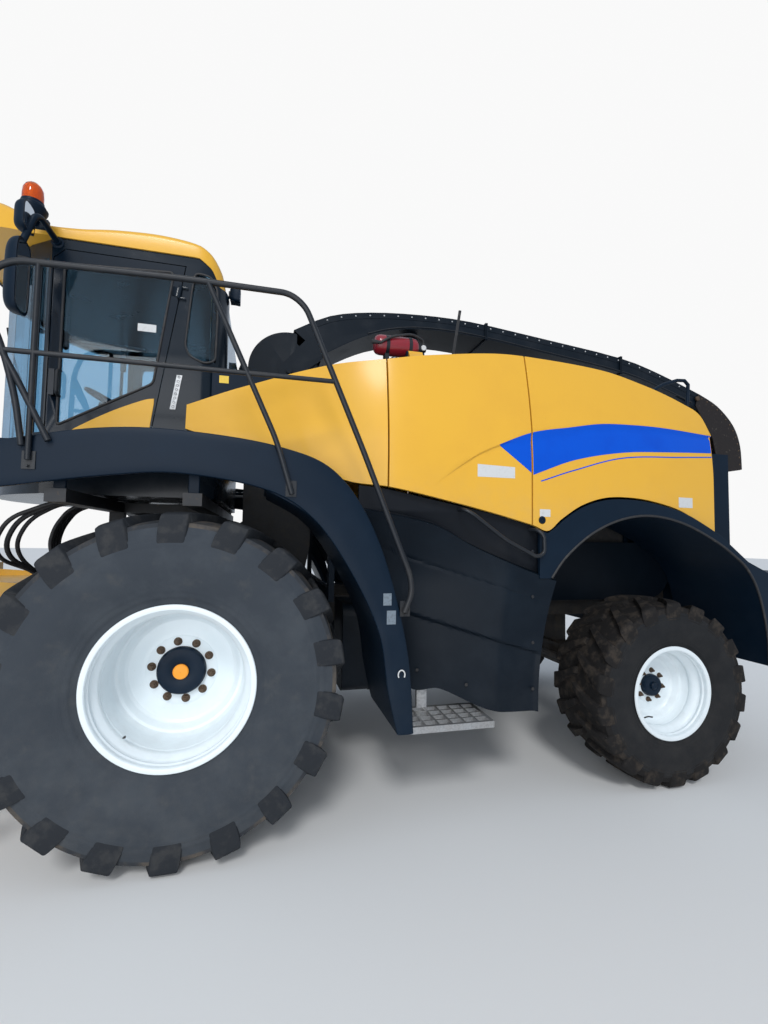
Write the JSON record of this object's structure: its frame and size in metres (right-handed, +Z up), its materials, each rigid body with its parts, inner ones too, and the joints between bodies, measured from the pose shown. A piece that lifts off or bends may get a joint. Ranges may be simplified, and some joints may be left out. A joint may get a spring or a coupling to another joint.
{
  "type": "self-propelled forage harvester",
  "caption": "Self-propelled forage harvester with cab, feed housing, turning discharge spout, opening engine covers and steered rear axle, parked without a header.",
  "frame": {"origin": "middle of the machine's bounding box on the ground", "axes": "+X forward, +Y to the machine's left, +Z up"},
  "size_m": [7.34, 3.3, 3.84],
  "materials": {
    "paint": "gloss",
    "dark_paint": "satin",
    "dark_plastic": "matte",
    "rim": "satin",
    "tyre": "matte",
    "glass": "gloss",
    "spout_sheet": "satin",
    "worn_sheet": "matte",
    "engine_block": "matte",
    "galvanised": "satin",
    "roll_steel": "satin",
    "rod": "polished",
    "fabric": "matte",
    "lamp_lens": "gloss",
    "beacon": "gloss",
    "red_paint": "gloss",
    "hose": "matte"
  },
  "bodies": {
    "chassis": {"frame": "dark_paint", "front_axle": "dark_paint", "rear_axle": "dark_paint", "chopper_housing": "dark_paint", "engine": "engine_block", "fuel_tanks": "dark_plastic", "cab_shell": "dark_paint", "cab_roof": "paint", "cab_glass": "glass", "seat": "fabric", "controls": "dark_plastic", "front_fenders": "dark_plastic", "handrails": "dark_paint", "ladder": "dark_paint", "service_steps": "galvanised", "front_panels": "paint", "hood_deck": "dark_paint", "side_skirts": "dark_plastic", "rear_fenders": "dark_plastic", "rear_body": "dark_plastic", "lamps": "lamp_lens", "beacons": "beacon", "mirrors": "dark_plastic", "extinguisher": "red_paint", "hoses": "hose"},
    "front_wheel_left": {"front_tyre_left": "tyre", "front_rim_left": "rim"},
    "front_wheel_right": {"front_tyre_right": "tyre", "front_rim_right": "rim"},
    "steering_knuckle_left": {"knuckle_left": "dark_paint"},
    "steering_knuckle_right": {"knuckle_right": "dark_paint"},
    "rear_wheel_left": {"rear_tyre_left": "tyre", "rear_rim_left": "rim"},
    "rear_wheel_right": {"rear_tyre_right": "tyre", "rear_rim_right": "rim"},
    "steering_link": {"track_rod": "rod"},
    "steering_cylinder": {"steering_barrel": "dark_paint"},
    "steering_rod": {"steering_piston": "rod"},
    "side_door": {"cab_door": "dark_paint", "door_glass": "glass"},
    "mid_cover_left": {"mid_panel_left": "paint"},
    "mid_cover_right": {"mid_panel_right": "paint"},
    "rear_cover_left": {"rear_panel_left": "paint"},
    "rear_cover_right": {"rear_panel_right": "paint"},
    "tail_grille": {"rear_grille": "paint"},
    "spout_turret": {"spout_elbow": "spout_sheet"},
    "spout_arm": {"spout_chute": "spout_sheet"},
    "spout_flap": {"deflector": "worn_sheet"},
    "spout_cylinder": {"spout_barrel": "dark_paint"},
    "spout_rod": {"spout_piston": "rod"},
    "feeder": {"feeder_housing": "paint"},
    "upper_roll": {"upper_feed_roll": "roll_steel"},
    "lower_roll": {"lower_feed_roll": "roll_steel"},
    "feeder_cylinders": {"feeder_barrels": "dark_paint"},
    "feeder_rods": {"feeder_pistons": "rod"}
  },
  "joints": [
    {"name": "front_wheel_left", "type": "hinge", "parent": "chassis", "child": "front_wheel_left", "pos_m": [1.84, 1.25, 0.9265], "axis": [0, 1, 0], "continuous": true},
    {"name": "front_wheel_right", "type": "hinge", "parent": "chassis", "child": "front_wheel_right", "pos_m": [1.84, -1.25, 0.9265], "axis": [0, 1, 0], "continuous": true},
    {"name": "steer_left", "type": "hinge", "parent": "chassis", "child": "steering_knuckle_left", "pos_m": [-1.46, 0.92, 0.656], "axis": [0, 0, 1], "range_deg": [-45, 45]},
    {"name": "steer_right", "type": "hinge", "parent": "chassis", "child": "steering_knuckle_right", "pos_m": [-1.46, -0.92, 0.656], "axis": [0, 0, 1], "range_deg": [-45, 45]},
    {"name": "rear_wheel_left", "type": "hinge", "parent": "steering_knuckle_left", "child": "rear_wheel_left", "pos_m": [-1.46, 1.22, 0.656], "axis": [0, 1, 0], "continuous": true},
    {"name": "rear_wheel_right", "type": "hinge", "parent": "steering_knuckle_right", "child": "rear_wheel_right", "pos_m": [-1.46, -1.22, 0.656], "axis": [0, 1, 0], "continuous": true},
    {"name": "steer_link", "type": "hinge", "parent": "steering_knuckle_left", "child": "steering_link", "pos_m": [-1.67, 0.92, 0.656], "axis": [0, 0, 1], "range_deg": [-45, 45]},
    {"name": "steer_cylinder", "type": "hinge", "parent": "chassis", "child": "steering_cylinder", "pos_m": [-1.27, 0, 0.656], "axis": [0, 0, 1], "range_deg": [-0.5, 0.5]},
    {"name": "steer_rod", "type": "slide", "parent": "steering_cylinder", "child": "steering_rod", "axis": [0, 1, 0], "range_m": [-0.15, 0.15]},
    {"name": "side_door", "type": "hinge", "parent": "chassis", "child": "side_door", "pos_m": [2.11, 1.012, 2.42], "axis": [-0.1508, 0, 0.9886], "range_deg": [0, 50]},
    {"name": "mid_cover_left", "type": "hinge", "parent": "chassis", "child": "mid_cover_left", "pos_m": [0.15, 1.25, 2.98], "axis": [1, 0, 0], "range_deg": [0, 65]},
    {"name": "mid_cover_right", "type": "hinge", "parent": "chassis", "child": "mid_cover_right", "pos_m": [0.15, -1.25, 2.98], "axis": [-1, 0, 0], "range_deg": [0, 65]},
    {"name": "rear_cover_left", "type": "hinge", "parent": "chassis", "child": "rear_cover_left", "pos_m": [-0.82, 1.25, 2.98], "axis": [1, 0, 0], "range_deg": [0, 65]},
    {"name": "rear_cover_right", "type": "hinge", "parent": "chassis", "child": "rear_cover_right", "pos_m": [-0.82, -1.25, 2.98], "axis": [-1, 0, 0], "range_deg": [0, 65]},
    {"name": "tail_grille", "type": "hinge", "parent": "chassis", "child": "tail_grille", "pos_m": [-2.447, -1.09, 2], "axis": [0, 0, 1], "range_deg": [0, 100]},
    {"name": "spout_turn", "type": "hinge", "parent": "chassis", "child": "spout_turret", "pos_m": [1.29, 0, 2.95], "axis": [0, 0, 1], "range_deg": [-95, 95]},
    {"name": "spout_lift", "type": "hinge", "parent": "spout_turret", "child": "spout_arm", "pos_m": [1.22, 0, 3.14], "axis": [0, 1, 0], "range_deg": [0, 35]},
    {"name": "spout_flap", "type": "hinge", "parent": "spout_arm", "child": "spout_flap", "pos_m": [-3.08, 0, 3.275], "axis": [0, 1, 0], "range_deg": [-20, 50]},
    {"name": "spout_cylinder", "type": "hinge", "parent": "spout_turret", "child": "spout_cylinder", "pos_m": [0.84, 0, 3.02], "axis": [0, 1, 0], "range_deg": [0, 45]},
    {"name": "spout_rod", "type": "slide", "parent": "spout_cylinder", "child": "spout_rod", "axis": [-0.8228, 0, 0.5684], "range_m": [0, 0.25]},
    {"name": "feeder_lift", "type": "hinge", "parent": "chassis", "child": "feeder", "pos_m": [2.39, 0, 1.05], "axis": [0, -1, 0], "range_deg": [-8, 15]},
    {"name": "upper_feed_roll", "type": "hinge", "parent": "feeder", "child": "upper_roll", "pos_m": [3.425, 0, 1.14], "axis": [0, 1, 0], "continuous": true},
    {"name": "lower_feed_roll", "type": "hinge", "parent": "feeder", "child": "lower_roll", "pos_m": [3.44, 0, 0.722], "axis": [0, 1, 0], "continuous": true},
    {"name": "feeder_cylinders", "type": "hinge", "parent": "chassis", "child": "feeder_cylinders", "pos_m": [2.17, 0, 0.62], "axis": [0, -1, 0], "range_deg": [-10, 16]},
    {"name": "feeder_rods", "type": "slide", "parent": "feeder_cylinders", "child": "feeder_rods", "axis": [0.9988, 0, -0.0487], "range_m": [-0.15, 0.15]}
  ],
  "couplings": [
    {"joint": "steer_right", "follows": "steer_left", "ratio": 1},
    {"joint": "steer_link", "follows": "steer_left", "ratio": -1},
    {"joint": "steer_cylinder", "follows": "steer_left", "ratio": 0.005},
    {"joint": "steer_rod", "follows": "steer_left", "m_per_rad": 0.176},
    {"joint": "spout_cylinder", "follows": "spout_lift", "ratio": 1.151},
    {"joint": "spout_rod", "follows": "spout_lift", "m_per_rad": 0.364},
    {"joint": "feeder_cylinders", "follows": "feeder_lift", "ratio": 0.822},
    {"joint": "feeder_rods", "follows": "feeder_lift", "m_per_rad": 0.425},
    {"joint": "lower_feed_roll", "follows": "upper_feed_roll", "ratio": -1.36}
  ]
}
